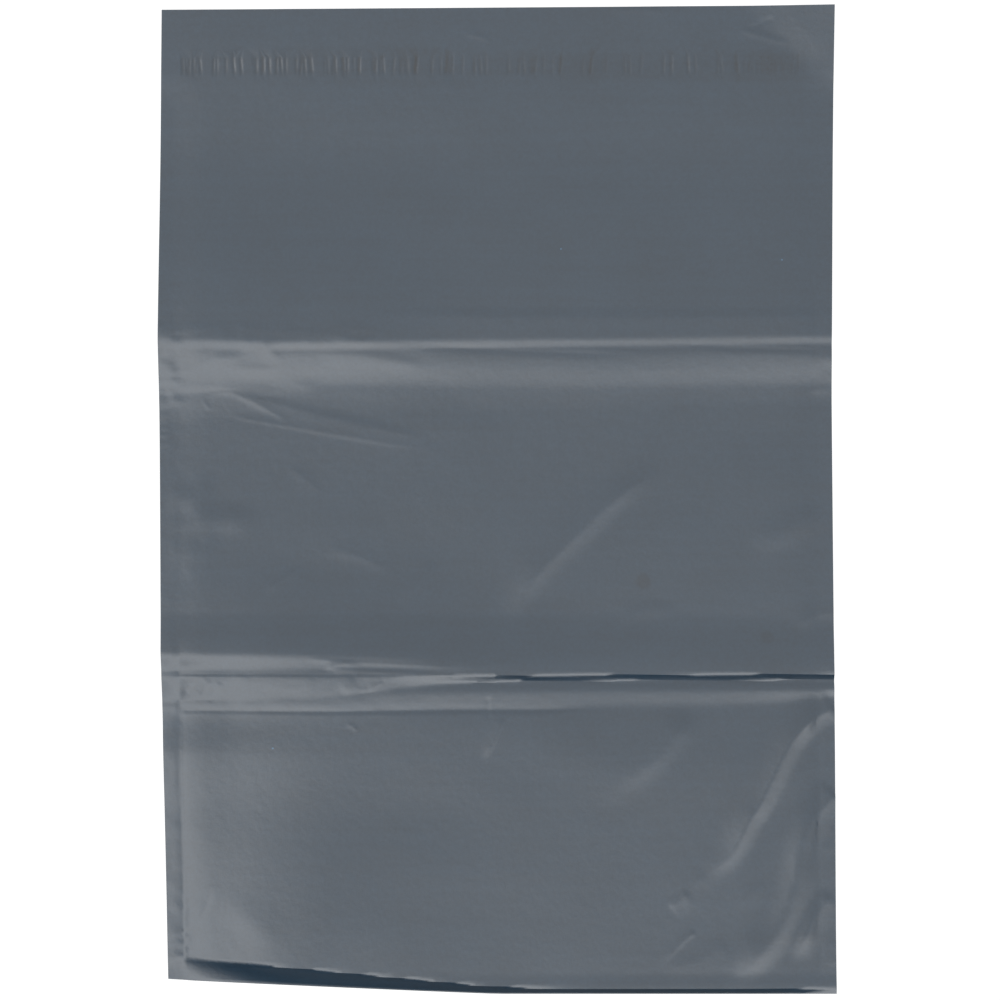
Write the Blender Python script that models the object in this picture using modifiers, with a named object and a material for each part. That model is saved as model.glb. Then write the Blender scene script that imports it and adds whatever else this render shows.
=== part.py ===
"""A grey poly mailer bag, unused, lying on its front with the plain back panel and the lip up.

The envelope is one sheet of film. It starts at the lip edge, runs down the back panel, turns at
the bottom fold and comes back as the front panel, which ends at the mouth, one lip short of the
start. The side edges are welded together. The bag was stored folded in three, so two creases
stand up across it, steeper on their lower side, and the lower third stays puffed.

A place on the sheet is (across, down): metres to the right of the middle, and metres from the
lip edge, seen from above with the lip at the top. +Y points to the lip, +X right, and +Z up.
"""

import math

import bmesh
import bpy
from mathutils import Matrix, Vector

# The bag
BAG_WIDTH = 0.305
LIP_LENGTH = 0.041
POCKET_LENGTH = 0.405
FILM = 0.00006
SEAT_GAP = 0.0003

# The side welds
WELD_WIDTH = 0.0075
WELD_FILM_GAP = 0.00006
WELD_BEAD = 0.00012
WELD_END_INSET = 0.0005

# The glue strip and the liner that peels off it, under the lip
GLUE_FROM_LIP_EDGE = 0.0220
GLUE_WIDTH = 0.0087
GLUE_THICKNESS = 0.00005
GLUE_LEFT_MARGIN = 0.0089
GLUE_RIGHT_MARGIN = 0.0131
LINER_OVERHANG = 0.0045
LINER_THICKNESS = 0.00005
LINER_ABOVE_TABLE = 0.0001
PUCKER_HEIGHT = 0.0005
PUCKER_PITCH = 0.0090

# How the two panels lie apart inside the pocket
SHUT_LOFT = 0.00015
FLAT_LOFT = 0.0005
LOFT_RUN = 0.014
PUFF_LEFT = 0.0048
PUFF_RIGHT = 0.0027
PUFF_START = 0.270
PUFF_FULL = 0.350
PUFF_RUN = 0.046

# Nearer the bottom fold the puff changes to these heights
END_LEFT = 0.0082
END_RIGHT = 0.0016
END_START = 0.370
END_FULL = 0.438
END_RUN = 0.024

# How high the puffed pocket lifts its welded edges
SIDE_LIFT_LEFT = 0.0036
SIDE_LIFT_RIGHT = 0.0016
SIDE_LIFT_RUN = 0.034

# The two storage creases, measured from the lip edge to the crest. Each comes down in falls, given
# as start left, start right, end left, end right, all past the crest, and then the share of the
# height lost at the left and at the right.
CREASE_TOP = 0.003
CREASE_1 = 0.1505
CREASE_1_RISE = 0.080
CREASE_1_LEFT = 0.0058
CREASE_1_RIGHT = 0.0042
CREASE_1_FALLS = (
    (0.0000, 0.0000, 0.0045, 0.0040, 0.20, 0.26),
    (0.0048, 0.0100, 0.0190, 0.0220, 0.68, 0.58),
    (0.0140, 0.0160, 0.0330, 0.0330, 0.12, 0.16),
)
CREASE_2 = 0.2950
CREASE_2_RISE = 0.034
CREASE_2_LEFT = 0.0048
CREASE_2_RIGHT = 0.0046
CREASE_2_FALLS = (
    (0.0000, 0.0000, 0.0095, 0.0025, 0.45, 0.08),
    (0.0105, 0.0020, 0.0220, 0.0080, 0.36, 0.76),
    (0.0180, 0.0080, 0.0340, 0.0240, 0.19, 0.16),
)

# The bottom fold. The puffed panel comes down to it within this length, at the left and at the
# right, and is steeper where it starts down.
DOWN_LEFT = 0.0084
DOWN_RIGHT = 0.0050
STRAIGHT_SHARE = 0.5
FOLD_DEPTH = 0.0001
FOLD_STEPS = 4
DRAWN_IN = 0.0064
DRAWN_IN_RUN = 0.150

# The puffed third is a little narrower at its bottom, by this much at the left and at the right
PINCH_LEFT = 0.0007
PINCH_RIGHT = 0.0014

# How the bag lies in plan: each third leans a little, and so do its rows
LEAN_TOP = math.radians(-0.50)
LEAN_MIDDLE = math.radians(0.48)
LEAN_BOTTOM = math.radians(0.95)
ROW_TILT_LIP = math.radians(0.39)
ROW_TILT_CREASE_1 = math.radians(0.05)
ROW_TILT_CREASE_2 = math.radians(-0.90)
ROW_TILT_BOTTOM = math.radians(0.0)

# The lifted top right corner
CORNER_LIFT = 0.0024
CORNER_REACH = 0.030

# Grid steps
COLUMN_STEP = 0.0116
FLAT_STEP = 0.0180
PUFF_STEP = 0.0100
FALL_STEP = 0.0026

# Other folds of the back panel. Each is a line over the sheet, a ridge that fades out at its ends:
# the side it is measured in from (-1 is the left), its points as (in from that side, down), its
# height, and how far it reaches to its left and to its right, looking along it.
FOLDS = (
    # The leaf on the middle third
    (-1, ((0.0215, 0.1768), (0.0364, 0.1755), (0.0532, 0.1820), (0.0900, 0.1890), (0.1276, 0.1967)),
     0.0009, 0.0090, 0.0110),
    # The long soft one down the middle third
    (1, ((0.0739, 0.2084), (0.0995, 0.2225), (0.1320, 0.2536), (0.1490, 0.2792)), 0.0012, 0.0110, 0.0130),
    # The comma where the second crease changes, and the kink below it
    (-1, ((0.0826, 0.2972), (0.0807, 0.3013), (0.0873, 0.3134)), 0.0011, 0.0080, 0.0090),
    (-1, ((0.1523, 0.3138), (0.1540, 0.3220), (0.1460, 0.3389)), 0.0008, 0.0080, 0.0090),
    # The ripples of the puffed third, from the middle to the right
    (1, ((0.0631, 0.3167), (0.0811, 0.3316), (0.1009, 0.3506), (0.1156, 0.3644)), 0.0012, 0.0110, 0.0130),
    (1, ((0.0004, 0.3182), (0.0169, 0.3285), (0.0266, 0.3466), (0.0391, 0.3679), (0.0658, 0.3970)),
     0.0022, 0.0095, 0.0150),
    (1, ((0.0010, 0.3520), (0.0099, 0.3672), (0.0150, 0.3880), (0.0221, 0.4157), (0.0489, 0.4387)),
     0.0022, 0.0100, 0.0130),
    # The dart at the lower left corner
    (-1, ((0.0228, 0.4051), (0.0300, 0.4104), (0.0533, 0.4315)), 0.0010, 0.0140, 0.0110),
    (-1, ((0.0219, 0.4033), (0.0176, 0.4137), (0.0049, 0.4355)), -0.0009, 0.0080, 0.0080),
)
FOLD_HOLLOW = 1.4

bag_length = LIP_LENGTH + POCKET_LENGTH
half_width = BAG_WIDTH / 2
weld_line = half_width - WELD_WIDTH
weld_separation = FILM + WELD_FILM_GAP
lip_separation = (
    LINER_ABOVE_TABLE + LINER_THICKNESS + SEAT_GAP + GLUE_THICKNESS + SEAT_GAP
)
turn_start = bag_length - FOLD_DEPTH


def ease(value, start, end):
    """0 at the start, 1 at the end, and level at both."""
    share = min(max((value - start) / (end - start), 0), 1)
    return share * share * (3 - 2 * share)


def across_share(across):
    """0 at the left edge and 1 at the right edge."""
    return min(max(across / BAG_WIDTH + 0.5, 0), 1)


def between(across, left, right):
    return left + (right - left) * across_share(across)


def crease_share(across, past, rise, falls):
    """The side view of a storage crease: its share of its height, this far past the crest."""
    share = ease(past, -rise, -CREASE_TOP)
    for start_left, start_right, end_left, end_right, lost_left, lost_right in falls:
        start = between(across, start_left, start_right)
        end = between(across, end_left, end_right)
        share -= between(across, lost_left, lost_right) * ease(past, start, end)
    return max(share, 0)


def crease_height(across, down):
    """How high the two storage creases lift both panels."""
    first = between(across, CREASE_1_LEFT, CREASE_1_RIGHT)
    second = between(across, CREASE_2_LEFT, CREASE_2_RIGHT)
    first *= crease_share(across, down - CREASE_1, CREASE_1_RISE, CREASE_1_FALLS)
    second *= crease_share(across, down - CREASE_2, CREASE_2_RISE, CREASE_2_FALLS)
    return first + second


def still_up(across, down):
    """What share of its height the pocket still has as it comes down to the bottom fold."""
    length = between(across, DOWN_LEFT, DOWN_RIGHT)
    share = min(max((bag_length - down) / length, 0), 1)
    return share * (STRAIGHT_SHARE + (1 - STRAIGHT_SHARE) * share**2)


def side_lift(across, down):
    """How high a puffed pocket lifts its side edges. It lifts them most along the weld lines."""
    inward = half_width - min(abs(across), half_width)
    puffed = ease(down, PUFF_START, PUFF_FULL) * still_up(across, down)
    hump = ease(inward, -WELD_WIDTH, WELD_WIDTH) * (1 - ease(inward, WELD_WIDTH, SIDE_LIFT_RUN))
    return (SIDE_LIFT_LEFT if across < 0 else SIDE_LIFT_RIGHT) * puffed * hump


def fold_height(across, down):
    """The sum of the loose folds at one place."""
    total = 0
    for side, points, height, to_left, to_right in FOLDS:
        line = [(side * (half_width - inward), place) for inward, place in points]
        nearest, along, reach = max(to_left, to_right), 0, to_left
        for i, (start, end) in enumerate(zip(line, line[1:])):
            run = (end[0] - start[0], end[1] - start[1])
            off = (across - start[0], down - start[1])
            share = (off[0] * run[0] + off[1] * run[1]) / (run[0] ** 2 + run[1] ** 2)
            share = min(max(share, 0), 1)
            away = math.hypot(off[0] - share * run[0], off[1] - share * run[1])
            if away < nearest:
                nearest, along = away, (i + share) / (len(line) - 1)
                reach = to_right if run[0] * off[1] > run[1] * off[0] else to_left
        if nearest < reach:
            total += height * (1 - nearest / reach) ** FOLD_HOLLOW * math.sin(math.pi * along)
    return total


def pocket_loft(across, down):
    """How far the panels stand apart inside the pocket, past the welds' own film gap."""
    inward = max(0, weld_line - abs(across))
    rounding = 1 - (1 - min(inward / LOFT_RUN, 1)) ** 2
    to_end = ease(down, END_START, END_FULL)
    puff = between(across, PUFF_LEFT, PUFF_RIGHT) * (1 - to_end)
    puff += between(across, END_LEFT, END_RIGHT) * to_end
    run = PUFF_RUN + (END_RUN - PUFF_RUN) * to_end
    puff *= ease(down, PUFF_START, PUFF_FULL) * (1 - (1 - min(inward / run, 1)) ** 2)
    above_shut = max(0, (FLAT_LOFT - SHUT_LOFT + fold_height(across, down)) * rounding + puff)
    return SHUT_LOFT * rounding + above_shut * still_up(across, down)


def corner_lift(across, down):
    """How high the top right corner of the lip stands up."""
    into_corner = CORNER_REACH - (half_width - across) - down
    return CORNER_LIFT * max(0, into_corner / CORNER_REACH) ** 1.3


def lip_height(across, down):
    """The middle of the lip's film, without its puckers."""
    return FILM / 2 + lip_separation + FILM / 2 + corner_lift(across, down)


def puckers(across, down):
    """The film over the glue strip is gathered into short puckers."""
    inside = min(down - GLUE_FROM_LIP_EDGE, GLUE_FROM_LIP_EDGE + GLUE_WIDTH - down)
    if inside < -1e-6 or abs(across) > half_width - GLUE_LEFT_MARGIN:
        return 0
    uneven = 0.6 + 0.4 * math.sin(across * 97) * math.sin(across * 41 + 1)
    band = min(1, (inside + 0.0015) / 0.003)
    return PUCKER_HEIGHT * band * uneven * (0.5 + 0.5 * math.cos(2 * math.pi * across / PUCKER_PITCH))


def front_height(across, down):
    return FILM / 2 + crease_height(across, down) + side_lift(across, down)


def back_height(across, down):
    """The middle of the back panel's film, from the lip edge to the bottom fold."""
    into_pocket = ease(down, LIP_LENGTH - 0.012, LIP_LENGTH)
    pocket = front_height(across, down) + weld_separation + pocket_loft(across, down)
    if into_pocket >= 1:
        return pocket
    lip = lip_height(across, down) + puckers(across, down)
    return lip + (pocket - lip) * into_pocket


def plan(across, down):
    """Where a place of the sheet lies in plan."""
    stations = (
        (0, CREASE_1, LEAN_TOP, ROW_TILT_LIP, ROW_TILT_CREASE_1),
        (CREASE_1, CREASE_2, LEAN_MIDDLE, ROW_TILT_CREASE_1, ROW_TILT_CREASE_2),
        (CREASE_2, bag_length, LEAN_BOTTOM, ROW_TILT_CREASE_2, ROW_TILT_BOTTOM),
    )
    shift = 0
    tilt = ROW_TILT_LIP
    for start, end, lean, tilt_start, tilt_end in stations:
        if down <= start:
            break
        part = min(down, end) - start
        shift += part * math.tan(lean)
        tilt = tilt_start + (tilt_end - tilt_start) * part / (end - start)
    drawn = DRAWN_IN * max(0, 1 - (across + half_width) / DRAWN_IN_RUN) ** 1.1
    puffed = ease(down, PUFF_START, bag_length)
    pinched = (PINCH_LEFT if across < 0 else PINCH_RIGHT) * across / half_width * puffed
    return (
        across + shift - pinched,
        bag_length / 2 - down + across * math.tan(tilt) + drawn * puffed,
    )


def turn_place(across, turn):
    """The film's middle round the bottom fold: turn goes from 0, on the back, to 1, on the front."""
    high = back_height(across, turn_start)
    low = front_height(across, turn_start)
    angle = math.pi * turn
    x, y = plan(across, turn_start)
    return x, y - FOLD_DEPTH * math.sin(angle), (high + low) / 2 + (high - low) / 2 * math.cos(angle)


def back_place(across, down):
    return (*plan(across, down), back_height(across, down))


def front_place(across, down):
    return (*plan(across, down), front_height(across, down))


def spaced(marks):
    """Stations between marks of (place, step to the next mark), with every mark among them."""
    places = []
    for (start, step), (end, _) in zip(marks, marks[1:]):
        count = max(1, round((end - start) / step))
        places += [start + (end - start) * i / count for i in range(count)]
    return places + [marks[-1][0]]


def columns():
    """Places across the sheet, with a column on each weld line."""
    return (
        [-half_width]
        + spaced(((-weld_line, COLUMN_STEP), (weld_line, 0)))
        + [half_width]
    )


def rows():
    """Places down the back panel, from the lip edge to where it turns at the bottom fold."""
    glue_end = GLUE_FROM_LIP_EDGE + GLUE_WIDTH
    marks = [
        (0, GLUE_FROM_LIP_EDGE / 3),
        (GLUE_FROM_LIP_EDGE, GLUE_WIDTH / 3),
        (glue_end, LIP_LENGTH - glue_end),
        (LIP_LENGTH, WELD_END_INSET),
        (LIP_LENGTH + WELD_END_INSET, FLAT_STEP),
    ]
    for crest, rise, falls, after in (
        (CREASE_1, CREASE_1_RISE, CREASE_1_FALLS, FLAT_STEP),
        (CREASE_2, CREASE_2_RISE, CREASE_2_FALLS, PUFF_STEP),
    ):
        steep_end = max(falls[1][2:4])
        marks += [
            (crest - rise, (rise - CREASE_TOP) / 3),
            (crest - CREASE_TOP, CREASE_TOP),
            (crest, FALL_STEP),
            (crest + steep_end, 2 * FALL_STEP),
            (crest + max(falls[2][2:4]), after),
        ]
    down_start = bag_length - max(DOWN_LEFT, DOWN_RIGHT)
    return spaced(marks + [(down_start, (turn_start - down_start) / 4), (turn_start, 0)])


def flat_grid(places_across, places_down):
    """A flat grid whose points lie at these places across and down, in the mesh's x and y."""
    sheet = bmesh.new()
    bmesh.ops.create_grid(
        sheet, x_segments=len(places_across) - 1, y_segments=len(places_down) - 1, size=0.5
    )
    for point in sheet.verts:
        column = round((point.co.x + 0.5) * (len(places_across) - 1))
        row = round((0.5 - point.co.y) * (len(places_down) - 1))
        point.co = (places_across[column], places_down[row], 0)
    bmesh.ops.reverse_faces(sheet, faces=sheet.faces)
    return sheet


def finished(sheet, name, material, collection):
    mesh = bpy.data.meshes.new(name)
    sheet.to_mesh(mesh)
    sheet.free()
    mesh.materials.append(material)
    thing = bpy.data.objects.new(name, mesh)
    collection.objects.link(thing)
    return thing


def thicken(thing, thickness):
    wall = thing.modifiers.new("film", "SOLIDIFY")
    wall.thickness = thickness
    wall.offset = 0
    wall.use_even_offset = True


def refine(sheet, inside):
    """Halves every edge whose two ends are inside."""
    edges = [e for e in sheet.edges if all(inside(*v.co.xy) for v in e.verts)]
    bmesh.ops.subdivide_edges(sheet, edges=edges, cuts=1, use_grid_fill=True)


def into_triangles(sheet):
    """Splits by the shorter diagonal, so layers that lie on each other get the same facets."""
    bmesh.ops.triangulate(sheet, faces=sheet.faces, quad_method="SHORT_EDGE")


def over_glue(across, down):
    in_rows = GLUE_FROM_LIP_EDGE - 1e-6 < down < GLUE_FROM_LIP_EDGE + GLUE_WIDTH + 1e-6
    return in_rows and abs(across) < half_width - GLUE_LEFT_MARGIN / 2


def film_envelope(material, collection):
    """The sheet from lip edge to mouth. The front panel uses the back panel's rows again."""
    back_rows = rows()
    length = len(back_rows)
    mouth = back_rows.index(LIP_LENGTH)
    # Past the start of the bottom fold, places down go on as numbers of steps from it.
    beyond = [turn_start + i for i in range(1, FOLD_STEPS)]
    returning = [turn_start + FOLD_STEPS + i for i in range(length - mouth)]
    sheet = flat_grid(columns(), back_rows + beyond + returning)
    refine(sheet, over_glue)
    for point in sheet.verts:
        across, down = point.co.xy
        steps = round(down - turn_start)
        if down <= turn_start + 1e-6:
            point.co = back_place(across, down)
        elif steps < FOLD_STEPS:
            point.co = turn_place(across, steps / FOLD_STEPS)
        else:
            point.co = front_place(across, back_rows[length - 1 - (steps - FOLD_STEPS)])
    into_triangles(sheet)
    envelope = finished(sheet, "film_envelope", material, collection)
    thicken(envelope, FILM)
    return envelope


def side_weld(side, material, collection):
    """The fused strip between the two panels at one side, with the bead that the hot knife left."""
    down = [d for d in rows() if d > LIP_LENGTH + WELD_END_INSET / 2]
    across = [weld_line, half_width, half_width + WELD_BEAD]
    if side < 0:
        across = [-a for a in reversed(across)]
    strip = flat_grid(across, down)
    lower = list(strip.verts)
    grown = bmesh.ops.extrude_face_region(strip, geom=strip.faces[:])
    upper = [g for g in grown["geom"] if isinstance(g, bmesh.types.BMVert)]
    for points, place in ((lower, front_place), (upper, back_place)):
        for point in points:
            x, y = point.co.xy
            held = min(max(x, -half_width), half_width)
            placed = place(held, y)
            point.co = (placed[0] + x - held, placed[1], placed[2])
    into_triangles(strip)
    bmesh.ops.recalc_face_normals(strip, faces=strip.faces)
    weld = finished(strip, f"weld_{'left' if side < 0 else 'right'}", material, collection)
    weld.hide_render = True
    weld.display_type = "WIRE"
    return weld


def strip_under_lip(name, first, last, width_from, width_to, below, thickness, material, collection):
    """A thin strip that follows the lip's underside, its middle this far below the lip's middle."""
    sheet = flat_grid(
        spaced(((first, COLUMN_STEP), (last, 0))),
        spaced(((width_from, (width_to - width_from) / 2), (width_to, 0))),
    )
    for point in sheet.verts:
        across, down = point.co.xy
        point.co = (*plan(across, down), lip_height(across, down) - below)
    strip = finished(sheet, name, material, collection)
    thicken(strip, thickness)
    return strip


def principled(name, colour, roughness):
    material = bpy.data.materials.new(name)
    material.use_nodes = True
    shader = material.node_tree.nodes["Principled BSDF"]
    shader.inputs["Base Color"].default_value = (*colour, 1)
    shader.inputs["Roughness"].default_value = roughness
    shader.inputs["Metallic"].default_value = 0
    material.diffuse_color = (*colour, 1)
    return material


def collection_named(name):
    collection = bpy.data.collections.new(name)
    bpy.context.scene.collection.children.link(collection)
    return collection


def centre_in_plan(envelope, things):
    """Moves everything so that the envelope's outline is centred on the origin, seen from above."""
    points = [point.co for point in envelope.data.vertices]
    middle = [(min(p[axis] for p in points) + max(p[axis] for p in points)) / 2 for axis in (0, 1)]
    for thing in things:
        thing.data.transform(Matrix.Translation(Vector((-middle[0], -middle[1], 0))))


def clear_scene():
    for thing in list(bpy.data.objects):
        bpy.data.objects.remove(thing, do_unlink=True)


def main():
    clear_scene()
    bag = collection_named("poly_mailer_bag")
    tools = collection_named("tools")
    grey_film = principled("grey_film", (0.105, 0.128, 0.155), 0.38)
    clear_glue = principled("clear_glue", (0.55, 0.53, 0.45), 0.30)
    white_liner = principled("white_liner", (0.72, 0.72, 0.70), 0.45)

    envelope = film_envelope(grey_film, bag)
    welds = [side_weld(side, grey_film, tools) for side in (-1, 1)]

    glue_below = FILM / 2 + SEAT_GAP + GLUE_THICKNESS / 2
    liner_below = glue_below + GLUE_THICKNESS / 2 + SEAT_GAP + LINER_THICKNESS / 2
    left = -half_width + GLUE_LEFT_MARGIN
    right = half_width - GLUE_RIGHT_MARGIN
    glue_end = GLUE_FROM_LIP_EDGE + GLUE_WIDTH
    glue = strip_under_lip(
        "glue_strip", left, right, GLUE_FROM_LIP_EDGE, glue_end,
        glue_below, GLUE_THICKNESS, clear_glue, bag,
    )
    liner = strip_under_lip(
        "release_liner", left - LINER_OVERHANG / 2, right + LINER_OVERHANG / 2,
        GLUE_FROM_LIP_EDGE - LINER_OVERHANG, glue_end + LINER_OVERHANG,
        liner_below, LINER_THICKNESS, white_liner, bag,
    )
    centre_in_plan(envelope, [envelope, glue, liner, *welds])
    for weld in welds:
        join = envelope.modifiers.new(weld.name, "BOOLEAN")
        join.operation = "UNION"
        # EXACT fails here: at some widths its result can't be sewn into a valid solid.
        join.solver = "MANIFOLD"
        join.object = weld


main()
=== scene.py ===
import math

import bmesh
import bpy
import numpy as np
from mathutils import Matrix


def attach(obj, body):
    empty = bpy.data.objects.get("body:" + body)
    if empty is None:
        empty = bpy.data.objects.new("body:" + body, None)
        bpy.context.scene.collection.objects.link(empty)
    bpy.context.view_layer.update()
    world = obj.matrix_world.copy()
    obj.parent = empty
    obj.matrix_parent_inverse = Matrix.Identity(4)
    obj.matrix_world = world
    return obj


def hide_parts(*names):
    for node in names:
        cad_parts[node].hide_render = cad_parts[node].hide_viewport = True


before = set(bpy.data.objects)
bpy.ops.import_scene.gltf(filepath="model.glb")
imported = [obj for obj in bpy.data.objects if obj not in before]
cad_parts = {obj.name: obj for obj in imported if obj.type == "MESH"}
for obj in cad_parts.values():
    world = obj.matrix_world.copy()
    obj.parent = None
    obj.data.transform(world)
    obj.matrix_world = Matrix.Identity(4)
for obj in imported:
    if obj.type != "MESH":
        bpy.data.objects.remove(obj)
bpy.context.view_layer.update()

mm = 0.001
degree = math.pi / 180

# A place on the sheet is (across, down): metres right of the middle, and metres from the lip edge.
bag = {
    "wide": 304.4 * mm, "lip": 41 * mm, "pocket": 405.4 * mm, "film": 0.06 * mm,
    "weldWide": 7.5 * mm, "weldGap": 0.04 * mm, "seat": 0.3 * mm,
    "lipJoins": 12 * mm, "lipDip": 0.2 * mm, "sharpAngle": 34,
}
bag["long"] = bag["lip"] + bag["pocket"]
bag["half"] = bag["wide"] / 2
bag["weldLine"] = bag["half"] - bag["weldWide"]

glue = {
    "from": 22.0 * mm, "wide": 8.7 * mm, "thick": 0.05 * mm,
    "leftMargin": 8.9 * mm, "rightMargin": 13.1 * mm,
    "linerOver": 4.5 * mm, "linerThick": 0.05 * mm, "linerAboveTable": 0.1 * mm,
    "edge": 0.8 * mm, "column": 4 * mm, "row": 1.5 * mm,
}
glue["to"] = glue["from"] + glue["wide"]
glue["left"], glue["right"] = -bag["half"] + glue["leftMargin"], bag["half"] - glue["rightMargin"]
bag["lipLift"] = glue["linerAboveTable"] + glue["linerThick"] + glue["thick"] + 2 * bag["seat"]

# The photograph's frame, 1000 by 1000 pixels, laid over the sheet.
photo = {"pixel": 0.4545 * mm, "middle": (496.9, 500.6)}

# The storage creases lift both panels. Places are the photograph's pixels down it, at each of the
# stations "at" across it. The film climbs over the "climbs", of these shares of its height, and
# comes down in the "falls", by "drop" millimetres each, or up where the drop is negative. "soft" is
# 0 for a straight slope, and a "bow" begins steepest.
storageCreases = {
    "upper": {
        "at": (160, 200, 260, 340, 460, 600, 720, 834),
        "climbs": (
            {"from": (150,) * 8, "to": (334, 336, 341, 341, 340, 338, 336, 335), "share": (1,) * 8},
        ),
        "falls": (
            {"from": (337, 339, 342, 342, 341, 340, 338, 337),
             "to": (349, 351, 351, 351, 349, 348, 346, 345),
             "drop": (0.5, 0.6, 0.95, 0.85, 0.75, 0.70, 0.62, 0.72), "soft": 0.3},
            {"from": (343, 343, 344, 345, 350, 353, 352, 352),
             "to": (396, 394, 388, 386, 389, 389, 387, 385),
             "drop": (4.0, 4.0, 3.6, 2.8, 1.65, 1.4, 1.7, 2.0), "soft": 0.7},
            {"from": (378, 376, 366, 362, 364, 366, 368, 368),
             "to": (430, 424, 418, 416, 416, 412, 408, 408),
             "drop": (1.4, 1.4, 1.3, 1.3, 1.0, 0.8, 0.7, 0.7), "soft": 1},
        ),
    },
    "lower": {
        "at": (160, 200, 240, 290, 340, 400, 460, 520, 600, 680, 760, 834),
        "climbs": (
            {"from": (440,) * 12, "to": (622,) * 12,
             "share": (0.54, 0.54, 0.53, 0.52, 0.52, 0.48, 0.44, 0.40, 0.36, 0.34, 0.34, 0.34)},
            {"from": (612, 612, 613, 613, 612, 612, 612, 614, 612, 614, 616, 618),
             "to": (652, 652, 652, 653, 654, 656, 661, 664, 665, 664, 665, 665),
             "share": (0.38, 0.38, 0.40, 0.42, 0.44, 0.50, 0.56, 0.60, 0.64, 0.66, 0.66, 0.66)},
        ),
        "falls": (
            {"from": (653, 653, 653, 653, 654, 656, 662, 666, 667, 667, 668, 668),
             "to": (670, 670, 670, 670, 669, 668, 674, 675, 675, 674.5, 674, 674),
             "drop": (1.8, 1.8, 1.8, 1.5, 1.1, 0.8, 0.2, 0, 0, 0, 0, 0), "soft": 0.5},
            {"from": (675, 675, 675, 675, 675, 674, 674, 674, 673.5, 673.5, 673, 673),
             "to": (699, 699, 699, 698, 695, 687, 682, 680.5, 679.5, 679.5, 679, 679),
             "drop": (2.5, 2.3, 1.9, 1.7, 1.5, 1.7, 2.3, 2.6, 2.7, 2.7, 2.7, 2.7), "soft": 0.15},
            {"from": (680,) * 12, "to": (690,) * 12,
             "drop": (0, 0, 0, 0, 0, -0.2, -0.5, -0.8, -1, -1, -1, -1), "soft": "bow"},
            {"from": (696, 696, 696, 694, 690, 690, 689, 688, 687, 687, 686, 686),
             "to": (716, 716, 716, 714, 710, 708, 708, 708, 708, 708, 706, 698),
             "drop": (0.3, 0.3, 0.3, 0.3, 0.5, 1.1, 1.1, 1.0, 0.95, 0.95, 1.0, 1.1), "soft": 0.8},
            {"from": (716,) * 12, "to": (754,) * 12,
             "drop": (-0.9, -0.9, -0.8, -0.5, -0.2, 0, 0, 0, 0, 0, 0, 0), "soft": 1},
            {"from": (752,) * 12, "to": (816,) * 12,
             "drop": (0.9, 0.9, 0.8, 0.6, 0.4, 0.3, 0.2, 0.1, 0, 0, 0, 0), "soft": 1},
        ),
    },
}
creaseBlend = 24  # pixels to either side that a station is blended over
climbSoft = 0.6   # as "soft" above, for the climbs

# The puffed third. Its heights and the places down the bag where it fills out are in millimetres,
# one for each place "at" across, and pairs are for the left and the right half.
pocket = {
    "flat": 0.5 * mm, "flatRun": 14 * mm,
    "at": (-152, -110, -60, 0, 60, 110, 152), "puff": (4.6, 5.2, 5.0, 3.8, 3.0, 2.8, 2.4),
    "end": (8.4, 9.0, 7.6, 4.4, 3.9, 3.6, 2.7), "rollDeep": (10.2, 9.4, 6.9, 3.2, 2.4, 2.0, 2.2),
    "run": (80 * mm, 44 * mm), "endRun": (62 * mm, 36 * mm),
    "from": (246, 246, 250, 260, 266, 266, 266), "full": (316, 316, 320, 332, 352, 360, 360),
    "endFrom": 340 * mm, "endBefore": 8 * mm, "sideLift": (1.0 * mm, 1.0 * mm), "sideLiftRun": 34 * mm,
    "pinch": (0.5 * mm, 1.2 * mm), "pinchFrom": 297 * mm, "straight": 0.8,
    "bead": (0, 0, 0, 0.3, 0.5, 0.5, 0.3), "beadBefore": (10 * mm, 3 * mm),
    "flatRest": 0.3, "foldsAtWeld": 0.5, "blend": 24, "rollBlend": 12,
}
# The bottom fold. Its left end is drawn up the picture. The back panel's rows end before "past".
roll = {"deep": 0.45 * mm, "steps": 6, "drawnIn": 6.4 * mm, "drawnInRun": 150 * mm, "drawnCurve": 1.1}
roll["from"] = bag["long"] - roll["deep"]
roll["past"] = roll["from"] + 0.1 * mm

# How the bag lies: each third leans, and its rows tilt, in degrees.
lie = {
    "marks": (0, 151.2 * mm, 294.5 * mm, bag["long"]),
    "lean": (-0.50, 0.48, 0.95), "tilt": (0.39, 0.05, -0.90, 0.0),
}
# The raised corner at the top right.
corner = {"lift": 2.9 * mm, "reach": 42 * mm, "curve": 1.3}


def ease(value, start, end):
    share = np.clip((value - start) / (end - start), 0, 1)
    return share * share * (3 - 2 * share)


def slide(value, start, end, soft):
    # From 0 to 1, straighter than ease, so that it begins with a crisp bend. A bow begins steepest.
    share = np.clip((value - start) / (end - start), 0, 1)
    if soft == "bow":
        return 1 - (1 - share) ** 2
    return share * (1 - soft) + share * share * (3 - 2 * share) * soft


def blended(place, stations, values, spread):
    # The value at a place between stations, without a bend at each of them.
    return sum(np.interp(place + spread * part, stations, values) for part in (-1, -0.5, 0, 0.5, 1)) / 5


def plan(across, down):
    # Where a place on the sheet is, seen from above.
    marks, shift = lie["marks"], 0
    for start, end, lean in zip(marks, marks[1:], lie["lean"]):
        shift = shift + np.clip(down - start, 0, end - start) * math.tan(lean * degree)
    tilt = np.interp(down, marks, lie["tilt"]) * degree
    fromLeft = np.clip(1 - (across + bag["half"]) / roll["drawnInRun"], 0, None)
    drawn = roll["drawnIn"] * fromLeft ** roll["drawnCurve"]
    lower = ease(down, pocket["pinchFrom"], bag["long"])
    pinched = across / bag["half"] * np.where(across < 0, *pocket["pinch"]) * lower
    return across + shift - pinched, bag["long"] / 2 - down + across * np.tan(tilt) + drawn * lower


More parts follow.
